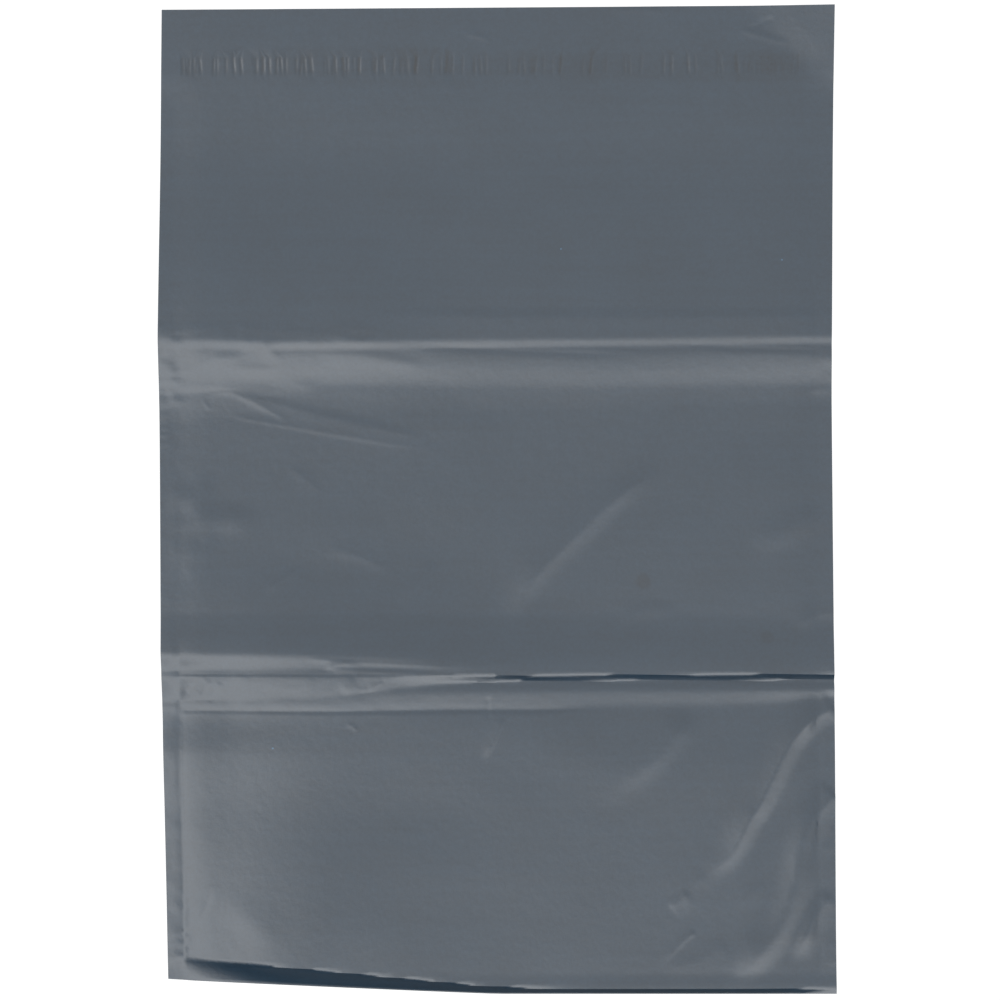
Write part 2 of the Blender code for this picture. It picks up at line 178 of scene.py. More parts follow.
def inPhoto(across, down):
    # Where a place on the sheet is seen, in the photograph's pixels.
    x, y = plan(across, down)
    return photo["middle"][0] + x / photo["pixel"], photo["middle"][1] - y / photo["pixel"]


def fromPhoto(points):
    # The places on the sheet that are seen at these pixels, settled in a few rounds.
    px, py = np.array(points, float).T
    x = (px - photo["middle"][0]) * photo["pixel"]
    y = (photo["middle"][1] - py) * photo["pixel"]
    across, down = x.copy(), bag["long"] / 2 - y
    for _ in range(4):
        atX, atY = plan(across, down)
        across, down = across + x - atX, down - (y - atY)
    return np.stack([across, down], 1)


def creaseHeight(px, py):
    # How far the storage creases lift the film.
    total = 0
    for crease in storageCreases.values():
        def at(values):
            return blended(px, crease["at"], values, creaseBlend)

        high = sum(at(fall["drop"]) for fall in crease["falls"])
        for climb in crease["climbs"]:
            risen = slide(py, at(climb["from"]), at(climb["to"]), climbSoft)
            total = total + high * at(climb["share"]) * risen
        for fall in crease["falls"]:
            fallen = slide(py, at(fall["from"]), at(fall["to"]), fall["soft"])
            total = total - at(fall["drop"]) * fallen
    return total * mm


# Crumpled patches, chiefly at the side welds. "at" is left, top, right and bottom in the photograph's
# pixels, "size" one crumple in pixels, "high" its millimetres, and "fade" the pixels it dies out over.
crumples = {
    "upperLeftEdge": {"at": (158, 322, 180, 350), "size": (8, 7), "high": 0.18, "fade": 8},
    "upperLeftTab": {"at": (158, 368, 182, 400), "size": (12, 9), "high": 0.24, "fade": 10},
    "middleLeftEdge": {"at": (158, 416, 168, 446), "size": (6, 8), "high": 0.18, "fade": 5},
    "upperCrest": {"at": (165, 330, 370, 342), "size": (46, 7), "high": 0.16, "fade": 8},
    "upperPlateau": {"at": (170, 350, 310, 384), "size": (26, 19), "high": 0.28, "fade": 14},
    "upperRightEdge": {"at": (812, 360, 836, 390), "size": (10, 9), "high": 0.16, "fade": 8},
    "lowerLeftEdge": {"at": (158, 650, 174, 712), "size": (9, 8), "high": 0.09, "fade": 6},
    "underLowerCrest": {"at": (170, 680, 420, 706), "size": (21, 11), "high": 0.12, "fade": 10},
    "leftWeld": {"at": (160, 706, 182, 932), "size": (9, 13), "high": 0.08, "fade": 5},
    "leftCorner": {"at": (160, 900, 196, 956), "size": (14, 12), "high": 0.14, "fade": 10},
    "rightWeld": {"at": (822, 700, 838, 960), "size": (8, 22), "high": 0.10, "fade": 6},
    "middleLeft": {"at": (176, 490, 205, 566), "size": (14, 30), "high": 0.5, "fade": 12},
}
crossing = 0.4  # strength of the crumples that run the other way

# Soft waves all over the back panel: the size of one in pixels, and its height in millimetres.
waves = (((86, 54), 0.20), ((37, 23), 0.035), ((310, 15), 0.010))
tableSide = 61
crumpleTable = np.random.default_rng(5).uniform(-1, 1, (tableSide, tableSide))


def bumps(px, py, size):
    # Smooth random ups and downs from -1 to 1, one to each patch of this size.
    u, v = px / size[0], py / size[1]
    i, j = np.floor(u).astype(int), np.floor(v).astype(int)
    s, t = ease(u - i, 0, 1), ease(v - j, 0, 1)

    def at(a, b):
        return crumpleTable[a % tableSide, b % tableSide]

    upper = at(i, j) * (1 - s) + at(i + 1, j) * s
    return upper * (1 - t) + (at(i, j + 1) * (1 - s) + at(i + 1, j + 1) * s) * t


def window(px, py, place, fade):
    left, top, right, bottom = place
    inside = ease(px, left - fade, left + fade / 2) * (1 - ease(px, right - fade / 2, right + fade))
    return inside * ease(py, top - fade, top) * (1 - ease(py, bottom, bottom + fade))


def crumpled(px, py):
    total = 0
    for patch in crumples.values():
        rough = 1 - np.abs(bumps(px, py, patch["size"])) + crossing * bumps(py, px, patch["size"])
        total = total + patch["high"] * mm * rough * window(px, py, patch["at"], patch["fade"])
    return total


def acrossPocket(name, across, spread=pocket["blend"]):
    # One of the pocket's rows of millimetres, at places across it.
    return blended(across, np.array(pocket["at"]) * mm, np.array(pocket[name]) * mm, spread * mm)


def puffed(across, down):
    # How far the pocket has filled out.
    return ease(down, acrossPocket("from", across), acrossPocket("full", across))


def closing(across, down):
    # How the pocket comes down to its bottom fold.
    deep = acrossPocket("rollDeep", across, pocket["rollBlend"])
    left = 1 - slide(down, bag["long"] - deep, bag["long"], 0)
    return left * (pocket["straight"] + (1 - pocket["straight"]) * left**2)


def sideLift(across, down):
    # The puffed pocket draws its sides up off the table.
    inward = bag["half"] - np.minimum(np.abs(across), bag["half"])
    hump = ease(inward, -bag["weldWide"], bag["weldWide"])
    hump = hump * (1 - ease(inward, bag["weldWide"], pocket["sideLiftRun"]))
    filled = puffed(across, down) * closing(across, down)
    return np.where(across < 0, *pocket["sideLift"]) * filled * hump


def lipHeight(across, down):
    into = corner["reach"] - (bag["half"] - across) - down
    lifted = corner["lift"] * np.clip(into / corner["reach"], 0, None) ** corner["curve"]
    return bag["film"] + bag["lipLift"] + lifted


def frontHeight(across, down):
    px, py = inPhoto(across, down)
    lifted = bag["film"] / 2 + creaseHeight(px, py) + sideLift(across, down)
    return lifted + np.clip(crumpled(px, py), 0, None)


def pocketLoft(across, down, folds):
    # How far the back panel stands off the front panel.
    inward = np.clip(bag["weldLine"] - np.abs(across), 0, None)
    rounding = 1 - (1 - np.clip(inward / pocket["flatRun"], 0, 1)) ** 2
    toEnd = ease(down, pocket["endFrom"], bag["long"] - pocket["endBefore"])

    def towardsEnd(before, atEnd):
        return before * (1 - toEnd) + atEnd * toEnd

    puff = towardsEnd(acrossPocket("puff", across), acrossPocket("end", across))
    puff = puff * puffed(across, down)
    run = towardsEnd(np.where(across < 0, *pocket["run"]), np.where(across < 0, *pocket["endRun"]))
    puff = puff * (1 - (1 - np.clip(inward / run, 0, 1)) ** 2)
    beadFrom, beadTo = (bag["long"] - away for away in pocket["beadBefore"])
    bead = acrossPocket("bead", across) * ease(down, beadFrom, beadTo)
    folded = folds * np.clip(pocket["foldsAtWeld"] + rounding, 0, 1)
    return pocket["flat"] * pocket["flatRest"] + closing(across, down) * np.clip(
        pocket["flat"] * rounding + puff + bead + folded, 0, None)


def backHeight(across, down, folds=0):
    into = ease(down, bag["lip"] - bag["lipJoins"], bag["lip"])
    inPocket = frontHeight(across, down) + bag["film"] + bag["weldGap"]
    inPocket = inPocket + pocketLoft(across, down, folds)
    onLip = lipHeight(across, down) + np.clip(folds, -bag["lipDip"], None)
    return onLip + (inPocket - onLip) * into


def rollPlace(across, turn):
    # Round the bottom fold, from the back panel at a turn of 0 to the front panel at 1.
    high, low = backHeight(across, roll["from"]), frontHeight(across, roll["from"])
    x, y = plan(across, np.full_like(across, roll["from"]))
    return (x, y - roll["deep"] * np.sin(math.pi * turn),
            (high + low) / 2 + (high - low) / 2 * np.cos(math.pi * turn))


def softCurve(points, steps=6):
    # A smooth curve through the points.
    if len(points) < 3:
        return points
    ends = np.vstack([2 * points[0] - points[1], points, 2 * points[-1] - points[-2]])
    line = []
    for a, b, c, d in zip(ends, ends[1:], ends[2:], ends[3:]):
        for t in np.arange(steps) / steps:
            line.append(0.5 * (2 * b + (c - a) * t + (2 * a - 5 * b + 4 * c - d) * t * t
                               + (3 * b - a - 3 * c + d) * t**3))
    return np.array(line + [points[-1]])


hollow = 0.5  # how hollow the sides of a sharp fold are

# Folds of the back panel. "at" is in the photograph's pixels, "high" and "wide" are millimetres,
# wide being the reach to the left and to the right of the line as it runs. "sharp" is 1 for a
# hollow sided tent and 0 for a rounded swell. "fade" is the share of the line over which its start
# and its end die out.
folds = {
    "cornerDark": {"at": [(742, 32), (756, 27), (772, 19)],
                   "high": -0.16, "wide": (2, 2), "sharp": 1, "fade": (0.2, 0.2)},
    "cornerBright": {"at": [(736, 31), (760, 38), (788, 47)],
                     "high": 0.2, "wide": (3, 3), "sharp": 1, "fade": (0.2, 0.2)},
    "cornerEdge": {"at": [(780, 12), (800, 32), (833, 52)],
                   "high": 0.26, "wide": (14, 10), "sharp": 0.2, "fade": (0.3, 0.3)},
    "lipMark": {"at": [(460, 35), (476, 38), (492, 44)],
                "high": 0.14, "wide": (3, 2), "sharp": 1, "fade": (0.3, 0.3)},
    "lipMarkB": {"at": [(602, 12), (634, 12), (668, 13)],
                 "high": 0.12, "wide": (2, 3), "sharp": 0.5, "fade": (0.3, 0.3)},
    "overCrest": {"at": [(330, 316), (420, 316), (520, 318), (680, 318), (834, 317)],
                  "high": 0.32, "wide": (4, 12), "sharp": 0.2, "fade": (0.3, 0.02)},
    "crestLine": {"at": [(430, 348), (520, 352), (640, 356)],
                  "high": -0.14, "wide": (2.2, 3), "sharp": 0.6, "fade": (0.2, 0.3)},
    "crestEnd": {"at": [(690, 348), (760, 350), (834, 352)],
                 "high": -0.12, "wide": (2, 2), "sharp": 0.6, "fade": (0.3, 0.05)},
    "notchV": {"at": [(262, 343), (270, 352), (286, 366)],
               "high": 0.22, "wide": (4, 5), "sharp": 1, "fade": (0.1, 0.5)},
    "plateauFoldA": {"at": [(196, 366), (222, 360), (246, 358)],
                     "high": 0.2, "wide": (4, 5), "sharp": 0.4, "fade": (0.3, 0.3)},
    "plateauFoldB": {"at": [(300, 352), (372, 358), (440, 372)],
                     "high": 0.2, "wide": (4, 6), "sharp": 0.4, "fade": (0.3, 0.3)},
    "leafTip": {"at": [(206, 398), (216, 394), (228, 393), (239, 396), (258, 405), (276, 415),
                       (294, 424)],
                "high": 0.16, "wide": (4, 2.6), "sharp": 1, "fade": (0.2, 0.3)},
    "leafUpper": {"at": [(236, 394), (276, 404), (330, 418), (388, 431), (440, 442)],
                  "high": 0.22, "wide": (3.5, 10), "sharp": 0.6, "fade": (0.15, 0.3)},
    "leafLower": {"at": [(222, 412), (240, 418), (271, 424), (301, 429), (376, 442), (418, 448),
                         (448, 453)],
                  "high": 0.11, "wide": (3.5, 1.7), "sharp": 1, "fade": (0.15, 0.4)},
    "leafHook": {"at": [(204, 399), (206, 405), (211, 410)],
                 "high": 0.08, "wide": (2, 2), "sharp": 1, "fade": (0.2, 0.2)},
    "longSoft": {"at": [(668, 469), (642, 480), (612, 500), (574, 536), (541, 568), (524, 590),
                        (504, 624)],
                 "high": 1.1, "wide": (8, 12), "sharp": 0.6, "fade": (0.3, 0.25)},
    "middleFaintA": {"at": [(264, 594), (284, 578), (304, 568)],
                     "high": 0.2, "wide": (3, 5), "sharp": 0.5, "fade": (0.3, 0.3)},
    "middleFaintB": {"at": [(318, 556), (342, 552), (372, 562), (398, 576)],
                     "high": 0.16, "wide": (6, 4), "sharp": 0.3, "fade": (0.3, 0.3)},
    "middleFaintC": {"at": [(284, 466), (304, 478), (322, 494)],
                     "high": 0.12, "wide": (3, 4), "sharp": 0.5, "fade": (0.3, 0.3)},
    "middleFaintD": {"at": [(436, 560), (420, 580), (398, 604)],
                     "high": 0.2, "wide": (4, 5), "sharp": 0.4, "fade": (0.3, 0.3)},
    "middlePatch": {"at": [(186, 522), (220, 520), (262, 523)],
                    "high": 0.5, "wide": (9, 7), "sharp": 0, "fade": (0.4, 0.4)},
    "rightFaintA": {"at": [(836, 512), (790, 528), (744, 546)],
                    "high": 0.5, "wide": (9, 10), "sharp": 0, "fade": (0.3, 0.3)},
    "rightFaintB": {"at": [(838, 610), (812, 616), (786, 628)],
                    "high": 0.5, "wide": (6, 8), "sharp": 0.6, "fade": (0.1, 0.4)},
    "rightFaintC": {"at": [(676, 609), (640, 612), (612, 622)],
                    "high": 0.2, "wide": (5, 6), "sharp": 0, "fade": (0.3, 0.3)},
    "stripStreakA": {"at": [(302, 657), (350, 661), (420, 664), (500, 668)],
                     "high": 0.12, "wide": (2, 2), "sharp": 0.8, "fade": (0.1, 0.5)},
    "stripStreakB": {"at": [(330, 668), (376, 670), (450, 672)],
                     "high": 0.14, "wide": (1.6, 1.6), "sharp": 0.8, "fade": (0.1, 0.5)},
    "commaHead": {"at": [(328, 672), (331, 665), (345, 663), (366, 666)],
                  "high": 0.32, "wide": (2.4, 5), "sharp": 0.4, "fade": (0.2, 0.5)},
    "commaTail": {"at": [(356, 677), (350, 684), (344, 693)],
                  "high": 0.25, "wide": (4, 6), "sharp": 0.3, "fade": (0.3, 0.3)},
    "pleatA": {"at": [(193, 678), (188, 687), (182, 697)],
               "high": 0.2, "wide": (2.4, 4), "sharp": 0.4, "fade": (0.2, 0.4)},
    "pleatB": {"at": [(211, 678), (206, 687), (200, 696)],
               "high": 0.18, "wide": (2.4, 4), "sharp": 0.4, "fade": (0.2, 0.4)},
    "pleatC": {"at": [(221, 680), (216, 688), (210, 697)],
               "high": 0.18, "wide": (2.4, 4), "sharp": 0.4, "fade": (0.2, 0.4)},
    "pleatD": {"at": [(384, 680), (376, 684), (368, 688)],
               "high": 0.16, "wide": (2, 3), "sharp": 0.4, "fade": (0.3, 0.3)},
    "innerLine": {"at": [(164, 673.5), (300, 673.5), (420, 674)],
                  "high": -0.14, "wide": (1.2, 1.0), "sharp": 1, "fade": (0.05, 0.2)},
    "thirdLine": {"at": [(164, 709), (330, 710), (470, 709), (540, 709), (598, 707)],
                  "high": -0.3, "wide": (3.2, 2.0), "sharp": 0.8, "fade": (0.06, 0.15)},
    "tick": {"at": [(346, 722), (353, 725), (358, 730)],
             "high": 0.14, "wide": (2, 2), "sharp": 1, "fade": (0.3, 0.3)},
    "kinkTop": {"at": [(488, 694), (487, 706), (488, 720)],
                "high": -0.16, "wide": (1.6, 2.4), "sharp": 0.8, "fade": (0.2, 0.3)},
    "kinkLine": {"at": [(503, 713), (495, 734), (484, 758)],
                 "high": 0.34, "wide": (2.2, 4.5), "sharp": 1, "fade": (0.25, 0.25)},
    "streakA": {"at": [(694, 712), (676, 729), (653, 757), (622, 782), (589, 806)],
                "high": 1.0, "wide": (9, 13), "sharp": 0.7, "fade": (0.2, 0.65)},
    "streakB": {"at": [(832, 706), (814, 716), (800, 728), (790, 740), (780, 758), (768, 783),
                       (758, 803), (748, 818), (731, 850), (711, 868), (688, 890)],
                "high": 2.1, "wide": (7, 13), "sharp": 0.9, "fade": (0.02, 0.45)},
    "streakC": {"at": [(834, 792), (816, 812), (806, 830), (800, 850), (796, 876), (787, 904),
                       (773, 932), (752, 956), (728, 978)],
                "high": 1.9, "wide": (9, 11), "sharp": 0.8, "fade": (0.02, 0.2)},
    "glint": {"at": [(828, 892), (812, 916), (803, 934), (790, 958)],
              "high": 1.5, "wide": (8, 6), "sharp": 0.6, "fade": (0.1, 0.4)},
    "glintFacet": {"at": [(842, 926), (834, 944), (830, 966)],
                   "high": -0.5, "wide": (3, 5), "sharp": 0.3, "fade": (0.1, 0.3)},
    "lineD": {"at": [(694, 929), (684, 936), (671, 949), (658, 964)],
              "high": 0.24, "wide": (2, 4), "sharp": 1, "fade": (0.1, 0.4)},
    "lineE": {"at": [(728, 940), (702, 956), (662, 968)],
              "high": 0.22, "wide": (10, 6), "sharp": 0.6, "fade": (0.2, 0.3)},
    "facetD": {"at": [(688, 890), (679, 896), (666, 906)],
               "high": 0.28, "wide": (9, 4), "sharp": 0.6, "fade": (0.25, 0.3)},
    "facetE": {"at": [(766, 884), (748, 892), (736, 908)],
               "high": 0.12, "wide": (7, 5), "sharp": 0.6, "fade": (0.3, 0.4)},
    "facetF": {"at": [(704, 866), (688, 888), (678, 908)],
               "high": 0.24, "wide": (8, 6), "sharp": 0.6, "fade": (0.3, 0.4)},
    "lowerLeftRay": {"at": [(216, 890), (232, 902), (254, 922), (284, 950)],
                     "high": 0.4, "wide": (16, 10), "sharp": 0.4, "fade": (0.35, 0.35)},
    "lowerLeftDark": {"at": [(214, 886), (205, 908), (192, 932), (178, 954)],
                      "high": -0.22, "wide": (3, 4), "sharp": 0.8, "fade": (0.25, 0.25)},
    "leftWeldLine": {"at": [(183, 706), (184, 780), (185, 860), (186, 930)],
                     "high": -0.06, "wide": (1.6, 1.4), "sharp": 1, "fade": (0.08, 0.08)},
}

# The glue makes the film above it pucker. Places and widths are the photograph's pixels, and the
# "extra" lines fall by chance "between" these two places.
# Along the pucker lines the film's colour is also darkened, which is painted shade in their creases.
puckers = {
    "at": (199, 217, 226, 240, 263, 280, 296, 310, 327, 347, 359, 373, 394, 416, 447, 472, 484, 519,
           560, 602, 622, 662, 685, 718, 732),
    "dense": ((183, 200), (744, 796)), "densePitch": 3.6, "deep": 0.3 * mm,
    "strong": 560, "strongest": 2,
    "extra": 60, "between": (205, 740), "strength": (0.3, 1.1), "lean": 0.12,
    "wide": 1.4, "top": 56, "bottom": 75, "fade": 3, "lineShade": 3.0,
}
chance = np.random.default_rng(8)
puckers["lines"] = [*puckers["at"], *chance.uniform(*puckers["between"], puckers["extra"])]
puckers["lines"] += [x + chance.uniform(-1, 1) for start, end in puckers["dense"]
                     for x in np.arange(start, end, puckers["densePitch"])]
puckers["strengths"] = chance.uniform(*puckers["strength"], len(puckers["lines"]))
puckers["leans"] = chance.uniform(-puckers["lean"], puckers["lean"], len(puckers["lines"]))


def distanceTo(line, across, down, reach):
    # How far each place is from the line, which side it is on, and how far along it lies.
    away, side, along = np.full(len(across), reach), np.ones(len(across)), np.zeros(len(across))
    lengths = np.linalg.norm(np.diff(line, axis=0), axis=1)
    run = np.concatenate([[0], np.cumsum(lengths)]) / lengths.sum()
    for i, (start, end) in enumerate(zip(line, line[1:])):
        step = end - start
        dx, dy = across - start[0], down - start[1]
        share = np.clip((dx * step[0] + dy * step[1]) / (step @ step), 0, 1)
        far = np.hypot(dx - share * step[0], dy - share * step[1])
        nearer = far < away
        away[nearer] = far[nearer]
        side[nearer] = np.sign(step[0] * dy - step[1] * dx)[nearer]
        along[nearer] = (run[i] + share * (run[i + 1] - run[i]))[nearer]
    return away, side, along


def puckerLines(px, py):
    total = 0
    for x, strength, lean in zip(puckers["lines"], puckers["strengths"], puckers["leans"]):
        deep = puckers["deep"] * (puckers["strongest"] if x == puckers["strong"] else strength)
        away = px - x - lean * (py - puckers["top"])
        total = total - deep * np.exp(-(away / puckers["wide"]) ** 2)
    fade = puckers["fade"]
    total = total * ease(py, puckers["top"] - fade, puckers["top"] + fade)
    return total * (1 - ease(py, puckers["bottom"] - fade, puckers["bottom"] + fade))


def foldHeights(across, down):
    # The folds, waves and puckers of the back panel.
    total = np.zeros(len(across))
    for fold in folds.values():
        line = softCurve(fromPhoto(fold["at"]))
        left, right = (w * mm for w in fold["wide"])
        reach = max(left, right)
        low, high = line.min(0) - reach, line.max(0) + reach
        near = (across > low[0]) & (across < high[0]) & (down > low[1]) & (down < high[1])
        if not near.any():
            continue
        away, side, along = distanceTo(line, across[near], down[near], reach)
        share = np.clip(away / np.where(side > 0, right, left), 0, 1)
        if fold["sharp"]:
            shape = (1 - share) ** (1 + fold["sharp"] * hollow)
        else:
            shape = 0.5 + 0.5 * np.cos(math.pi * share)
        first, last = fold["fade"]
        ends = ease(along, 0, first) * (1 - ease(along, 1 - last, 1))
        total[near] += fold["high"] * mm * shape * ends
    px, py = inPhoto(across, down)
    for size, high in waves:
        total += high * mm * bumps(px, py, size)
    return total + puckerLines(px, py)


def spaced(marks):
    # Places from mark to mark, evenly spaced at about the step that goes with each mark.
    places = []
    for (start, step), (end, _) in zip(marks, marks[1:]):
        count = max(1, round((end - start) / step))
        places += [start + (end - start) * i / count for i in range(count)]
    return places + [marks[-1][0]]


def flatGrid(across, down):
    # A flat grid with points at these places across and down.
    sheet = bmesh.new()
    bmesh.ops.create_grid(sheet, x_segments=len(across) - 1, y_segments=len(down) - 1, size=0.5)
    for point in sheet.verts:
        column = round((point.co.x + 0.5) * (len(across) - 1))
        row = round((0.5 - point.co.y) * (len(down) - 1))
        point.co = (across[column], down[row], 0)
    bmesh.ops.reverse_faces(sheet, faces=sheet.faces)
    return sheet


# The sizes of the film's facets. A fold has this many "facets" over its narrower side. They keep
# their size over the "core" of its reach and then grow by "growth" with the distance, and an edge
# is split where it is longer than wanted by "slack".
grain = {
    "column": 6 * mm, "weldColumns": 3, "flat": 6 * mm, "crest": 1.2 * mm, "underCrest": 3 * mm,
    "aboveCrest": 44, "glueRow": 1.5 * mm, "finest": 0.55 * mm, "pucker": 0.42 * mm,
    "facets": {"sharp": 4, "round": 3}, "core": 0.5, "growth": 0.5, "crumpledFrom": 0.02,
    "passes": 4, "slack": 1.5,
}


def fineness(across, down):
    # How small the film's facets should be at each place, across and down.
    wanted = np.full(len(across), grain["flat"])
    for fold in folds.values():
        line = softCurve(fromPhoto(fold["at"]))
        reach = max(fold["wide"]) * mm
        tight = min(fold["wide"]) * mm / grain["facets"]["sharp" if fold["sharp"] else "round"]
        limit = reach + grain["flat"] * 2
        away = distanceTo(line, across, down, limit)[0]
        beyond = np.clip(away - grain["core"] * reach, 0, None)
        size = np.maximum(tight, grain["finest"]) + grain["growth"] * beyond
        wanted = np.minimum(wanted, np.where(away < limit, size, wanted))
    px, py = inPhoto(across, down)
    for patch in crumples.values():
        inside = window(px, py, patch["at"], 2 * patch["fade"]) > grain["crumpledFrom"]
        size = max(min(patch["size"]) * photo["pixel"] / grain["facets"]["round"], grain["finest"])
        wanted = np.where(inside, np.minimum(wanted, size), wanted)
    inBand = (down > glue["from"] - mm) & (down < glue["to"] + mm)
    return np.where(inBand, grain["pucker"], wanted), wanted


def refine(sheet):
    # Splits the edges of the back panel that are too long for what lies there.
    for turn in range(grain["passes"]):
        sheet.verts.ensure_lookup_table()
        sheet.verts.index_update()
        places = np.array([v.co.xy for v in sheet.verts])
        across, down = fineness(places[:, 0], places[:, 1])
        onBack = places[:, 1] < roll["past"]
        long = []
        for edge in sheet.edges:
            first, last = edge.verts
            if not (onBack[first.index] and onBack[last.index]):
                continue
            step = last.co - first.co
            wanted = across if abs(step.x) > abs(step.y) else down
            if step.length > grain["slack"] * min(wanted[first.index], wanted[last.index]):
                long.append(edge)
        bmesh.ops.subdivide_edges(sheet, edges=long, cuts=1, use_grid_fill=True)
        print("film refined", turn, len(sheet.faces))


def rowsDown(top, crest):
    # Rows from the top of a panel to its bottom fold, this close together at the creases.
    marks = [(top, grain["flat"])]
    if top == 0:
        marks += [(glue["from"], grain["glueRow"]),
                  (glue["to"], grain["flat"]), (bag["lip"], grain["flat"])]
    for crease in storageCreases.values():
        above = min(crease["climbs"][-1]["to"]) - grain["aboveCrest"]
        below = max(crease["falls"][-1]["to"])
        first, last = (fromPhoto([(photo["middle"][0], y)])[0][1] for y in (above, below))
        marks += [(first, crest), (last, grain["flat"])]
    deepest = max(pocket["rollDeep"]) * mm
    return spaced(marks + [(bag["long"] - deepest - mm, crest), (roll["from"], 0)])


def columnsAcross():
    # Columns from side to side, closer together on the welds.
    inner = spaced(((-bag["weldLine"], grain["column"]), (bag["weldLine"], 0)))
    edge = spaced(((bag["weldLine"], bag["weldWide"] / grain["weldColumns"]), (bag["half"], 0)))
    return [-a for a in reversed(edge[1:])] + inner + edge[1:]


def makePiece(name, sheet, material):
    mesh = bpy.data.meshes.new(name)
    sheet.to_mesh(mesh)
    sheet.free()
    mesh.materials.append(material)
    piece = bpy.data.objects.new(name, mesh)
    bpy.context.scene.collection.objects.link(piece)
    mesh.shade_smooth()
    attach(piece, "root")
    return piece


def giveWall(piece, thick):
    # Gives the flat sheet the thickness of its film.
    wall = piece.modifiers.new("film", "SOLIDIFY")
    wall.thickness = thick
    wall.offset = 0
    wall.use_even_offset = True
    seen = piece.evaluated_get(bpy.context.evaluated_depsgraph_get())
    mesh = bpy.data.meshes.new_from_object(seen)
    piece.modifiers.remove(wall)
    flat, piece.data = piece.data, mesh
    bpy.data.meshes.remove(flat)
    mesh.name = piece.name
    mesh.set_sharp_from_angle(angle=bag["sharpAngle"] * degree)


def makeFilm(material):
    # On the flat grid the rows past the back panel are only numbered: those of the bottom fold first,
    # and then the front panel's, on the way back up.
    back = rowsDown(0, grain["crest"])
    front = rowsDown(bag["lip"], grain["underCrest"])
    beyond = [roll["from"] + i for i in range(1, roll["steps"])]
    returning = [roll["from"] + roll["steps"] + i for i in range(len(front))]
    sheet = flatGrid(columnsAcross(), back + beyond + returning)
    refine(sheet)
    places = np.array([v.co.xy for v in sheet.verts])
    across, down = places[:, 0], places[:, 1]
    steps = np.round(down - roll["from"])
    onBack = down < roll["past"]
    onRoll = ~onBack & (steps < roll["steps"])
    onFront = ~onBack & ~onRoll
    film = np.zeros((len(places), 3))
    a, d = across[onBack], down[onBack]
    film[onBack] = np.stack([*plan(a, d), backHeight(a, d, foldHeights(a, d))], 1)
    film[onRoll] = np.stack(rollPlace(across[onRoll], steps[onRoll] / roll["steps"]), 1)
    a = across[onFront]
    d = np.array(front)[(len(front) - 1 - (steps[onFront] - roll["steps"])).astype(int)]
    film[onFront] = np.stack([*plan(a, d), frontHeight(a, d)], 1)
    for point, place in zip(sheet.verts, film):
        point.co = place
    piece = makePiece("filmEnvelope", sheet, material)
    glueBandAndPuckerShade = piece.data.attributes.new("glueBandAndPuckerShade", "FLOAT", "POINT")
    edge, left, right = glue["edge"], glue["left"], glue["right"]
    share = ease(down, glue["from"] - edge, glue["from"])
    share = share * (1 - ease(down, glue["to"], glue["to"] + edge))
    share = share * ease(across, left - edge, left) * (1 - ease(across, right, right + edge)) * onBack
    # The colour is darkened over the glue band, and more along the pucker lines, where it is painted
    # shade in the creases.
    lines = -puckerLines(*inPhoto(across, down)) / puckers["deep"] * onBack
    glueBandAndPuckerShade.data.foreach_set("value", share + puckers["lineShade"] * lines)
    giveWall(piece, bag["film"])
    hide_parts("film_envelope")
    return piece


def lieUnderLip(name, first, last, start, end, below, thick, material):
    columns = spaced(((first, glue["column"]), (last, 0)))
    sheet = flatGrid(columns, spaced(((start, glue["row"]), (end, 0))))
    for point in sheet.verts:
        across, down = point.co.xy
        x, y = plan(across, down)
        point.co = (x, y, lipHeight(across, down) - below)
    strip = makePiece(name, sheet, material)
    giveWall(strip, thick)
    return strip


class Wire:
    # A socket that takes sums, products and powers of values.
    def __init__(self, tree, socket):
        self.tree, self.socket = tree, socket

    def maths(self, operation, *others):
        node = self.tree.nodes.new("ShaderNodeMath")
        node.operation = operation
        for slot, value in zip(node.inputs, others):
            if isinstance(value, Wire):
                self.tree.links.new(value.socket, slot)
            else:
                slot.default_value = value
        return Wire(self.tree, node.outputs[0])

    def __add__(self, other):
        return self.maths("ADD", self, other)

    def __sub__(self, other):
        return self.maths("SUBTRACT", self, other)

    def __rsub__(self, other):
        return self.maths("SUBTRACT", other, self)

    def __mul__(self, other):
        return self.maths("MULTIPLY", self, other)

    def __gt__(self, other):
        return self.maths("GREATER_THAN", self, other)

    def __lt__(self, other):
        return self.maths("LESS_THAN", self, other)

    __radd__, __rmul__ = __add__, __mul__


class Finish:
    # A material and the nodes that make it.
    def __init__(self, name, colour, roughness):
        self.material = bpy.data.materials.new(name)
        self.material.use_nodes = True
        self.tree = self.material.node_tree
        self.shader = self.tree.nodes["Principled BSDF"]
        self.shader.inputs["Base Color"].default_value = (*colour, 1)
        self.shader.inputs["Roughness"].default_value = roughness
        self.material.diffuse_color = (*colour, 1)

    def node(self, kind, settings=None, **sockets):
        made = self.tree.nodes.new(kind)
        for name, value in (settings or {}).items():
            setattr(made, name, value)
        for name, value in sockets.items():
            socket = made.inputs[name.replace("_", " ")]
            if isinstance(value, Wire):
                self.tree.links.new(value.socket, socket)
            else:
                socket.default_value = value
        return made

    def out(self, node, name):
        return Wire(self.tree, node.outputs[name])

    def feed(self, name, wire):
        self.tree.links.new(wire.socket, self.shader.inputs[name])

    def tinted(self, colour, shade):
        # The colour times a value that varies.
        mixed = self.node("ShaderNodeVectorMath", {"operation": "SCALE"}, Scale=shade)
        mixed.inputs[0].default_value = colour
        self.feed("Base Color", self.out(mixed, "Vector"))


